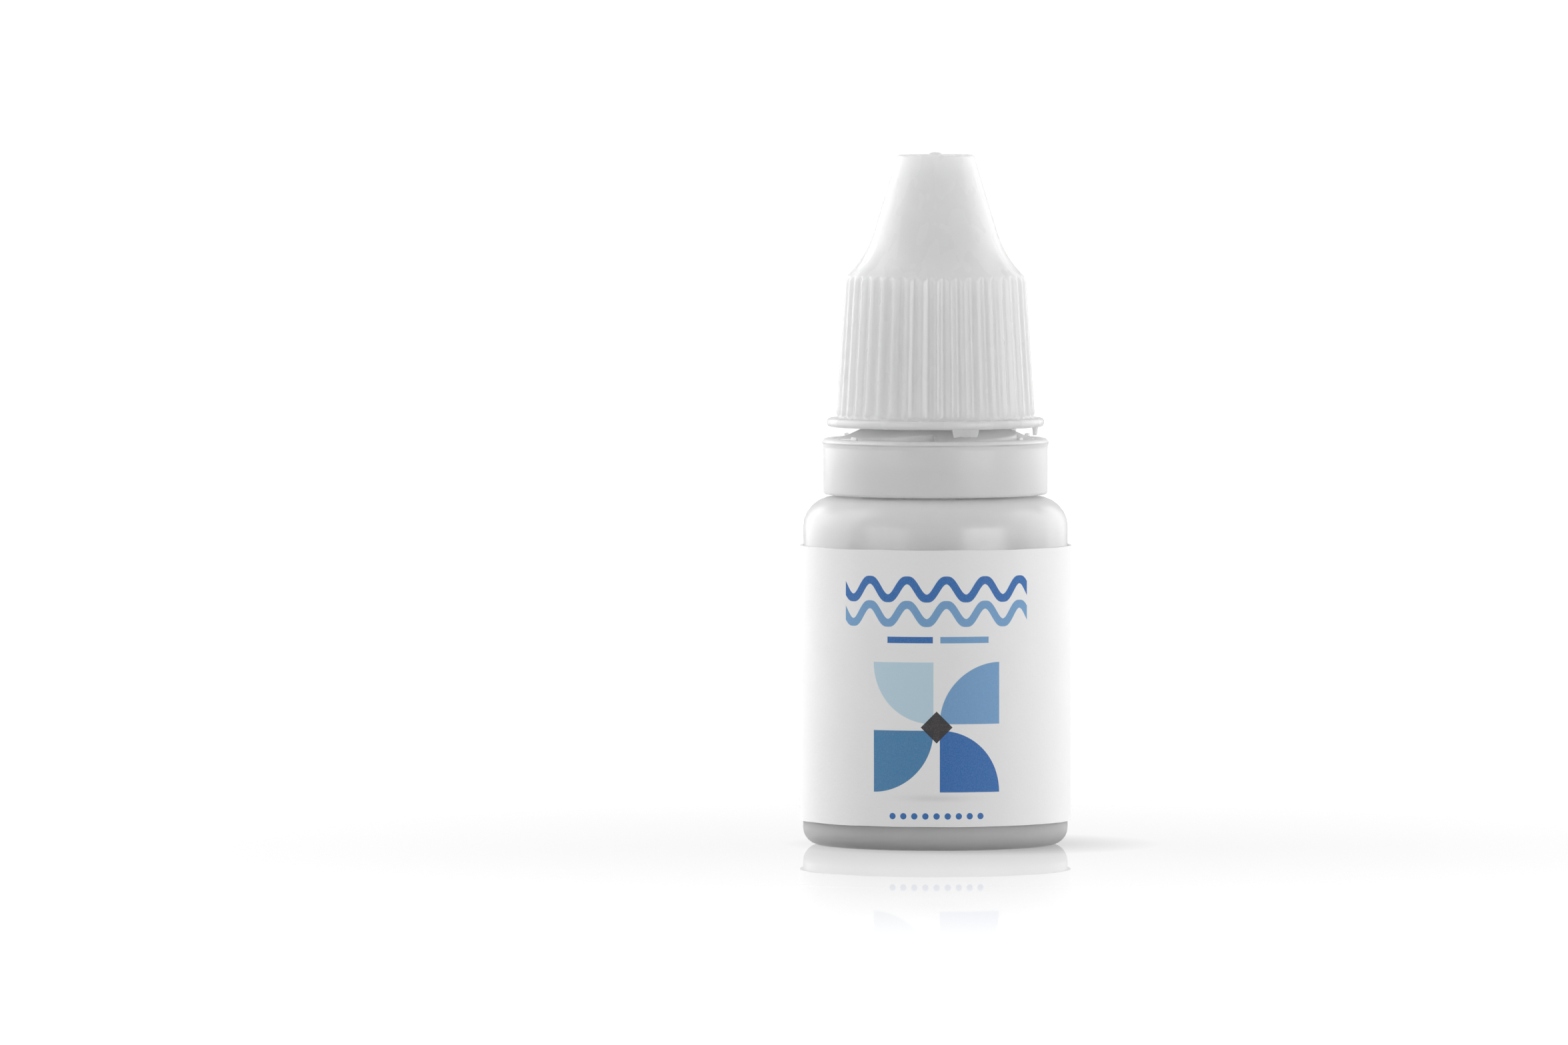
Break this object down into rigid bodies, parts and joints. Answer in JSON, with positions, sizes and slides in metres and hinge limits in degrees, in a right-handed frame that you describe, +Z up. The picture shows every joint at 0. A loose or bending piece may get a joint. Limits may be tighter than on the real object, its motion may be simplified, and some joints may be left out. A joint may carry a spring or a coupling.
{
  "type": "eye drop bottle",
  "caption": "Squeeze dropper bottle with a pressed-in nozzle, a tamper band, a wrap label and a ribbed screw cap.",
  "frame": {"origin": "centre of the base, on the surface that the bottle stands on", "axes": "+Z up along the bottle's axis, -Y towards the front of the label, +X to the right seen from the front"},
  "size_m": [0.0256, 0.0256, 0.0654],
  "materials": {
    "bottle": "satin white polyethylene",
    "dropper_insert": "glossy, slightly translucent white polyethylene",
    "cap": "satin white polypropylene",
    "cap_seal": "soft matt white polyethylene",
    "tamper_band": "satin white polypropylene",
    "label": "uncoated white paper with blue print"
  },
  "bodies": {
    "bottle_body": {"bottle": "bottle", "dropper_insert": "dropper_insert", "label": "label"},
    "seal_body": {"cap_seal": "cap_seal"},
    "cap_body": {"cap": "cap"},
    "band_body": {"tamper_band": "tamper_band"}
  },
  "joints": [
    {"name": "cap_rise", "type": "slide", "parent": "bottle_body", "child": "seal_body", "axis": [0, 0, 1], "range_m": [0, 0.0241]},
    {"name": "cap_turn", "type": "hinge", "parent": "seal_body", "child": "cap_body", "pos_m": [0, 0, 0.05], "axis": [0, 0, 1], "range_deg": [0, 1728]},
    {"name": "band_turn", "type": "hinge", "parent": "bottle_body", "child": "band_body", "pos_m": [0, 0, 0.0358], "axis": [0, 0, 1], "range_deg": [-12, 8]}
  ],
  "couplings": [
    {"joint": "cap_rise", "follows": "cap_turn", "m_per_rad": 0.00079577}
  ]
}
